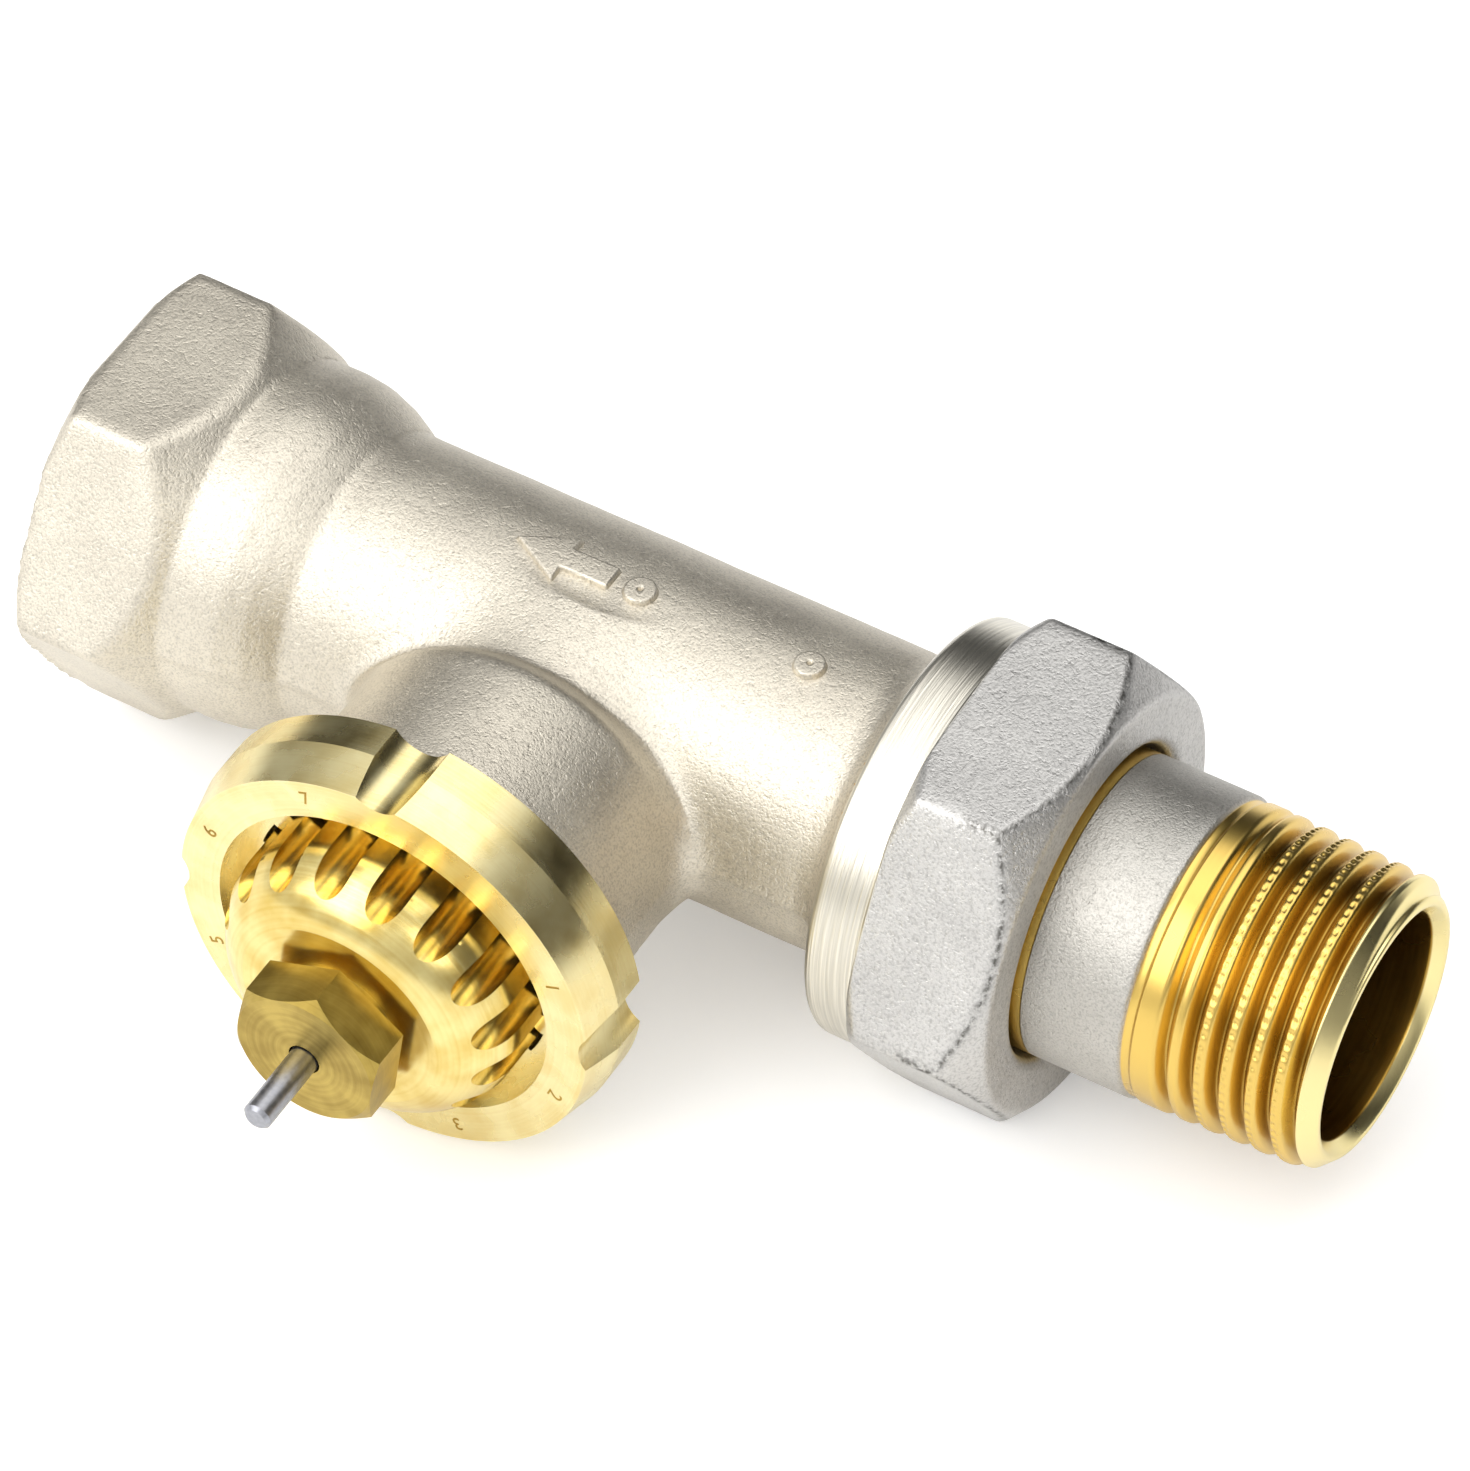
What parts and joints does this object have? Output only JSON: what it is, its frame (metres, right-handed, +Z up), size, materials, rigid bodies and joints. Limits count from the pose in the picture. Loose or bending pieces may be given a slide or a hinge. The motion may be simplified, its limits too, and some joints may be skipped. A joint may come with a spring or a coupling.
{
  "type": "straight radiator valve body",
  "caption": "Straight radiator valve body with female inlet, union nut with threaded tailpiece, and a brass presetting insert whose steel pin closes the valve.",
  "frame": {"origin": "centre of the inlet mouth, where the pipe screws in", "axes": "+X along the run to the tailpiece, -Y out along the insert and its pin, +Z up"},
  "size_m": [0.095, 0.06, 0.0316],
  "materials": {
    "nickel_plated_brass": "forged and blasted, nickel plated, matt",
    "bright_brass": "turned, bright",
    "dark_brass": "turned, dull",
    "stainless_steel": "ground",
    "black_rubber": "matt",
    "dark_plastic": "moulded, matt"
  },
  "bodies": {
    "body": {"valve_body": "nickel_plated_brass", "retaining_ring": "stainless_steel"},
    "head": {"setting_head": "bright_brass", "head_o_ring": "black_rubber", "gland_nut": "dark_brass", "gland_washer": "dark_brass", "pin_lip_seal": "black_rubber", "pin_o_ring": "black_rubber", "setting_barrel": "dark_plastic", "barrel_o_ring": "black_rubber", "return_spring": "stainless_steel"},
    "ring": {"setting_ring": "bright_brass"},
    "pin": {"pressure_pin": "stainless_steel", "spindle": "stainless_steel", "valve_disc": "black_rubber", "disc_retainer": "stainless_steel", "spring_cap": "stainless_steel"},
    "tail": {"tailpiece": "nickel_plated_brass"},
    "nut": {"union_nut": "nickel_plated_brass"}
  },
  "joints": [
    {"name": "setting_turn", "type": "hinge", "parent": "body", "child": "head", "pos_m": [0.0372, 0, 0], "axis": [0, -1, 0], "continuous": true},
    {"name": "ring_lift", "type": "slide", "parent": "head", "child": "ring", "axis": [0, -1, 0], "range_m": [0, 0.003]},
    {"name": "pin_press", "type": "slide", "parent": "head", "child": "pin", "axis": [0, 1, 0], "range_m": [0, 0.0022], "stiffness_N_per_m": 5000, "springref_m": -0.001, "deforming": ["return_spring"]},
    {"name": "tail_draw", "type": "slide", "parent": "body", "child": "tail", "axis": [1, 0, 0], "range_m": [0, 0.00907]},
    {"name": "union_nut_turn", "type": "hinge", "parent": "tail", "child": "nut", "pos_m": [0.0674, 0, 0], "axis": [1, 0, 0], "range_deg": [0, 1801]}
  ],
  "couplings": [
    {"joint": "union_nut_turn", "follows": "tail_draw", "rad_per_m": 3463.7}
  ]
}
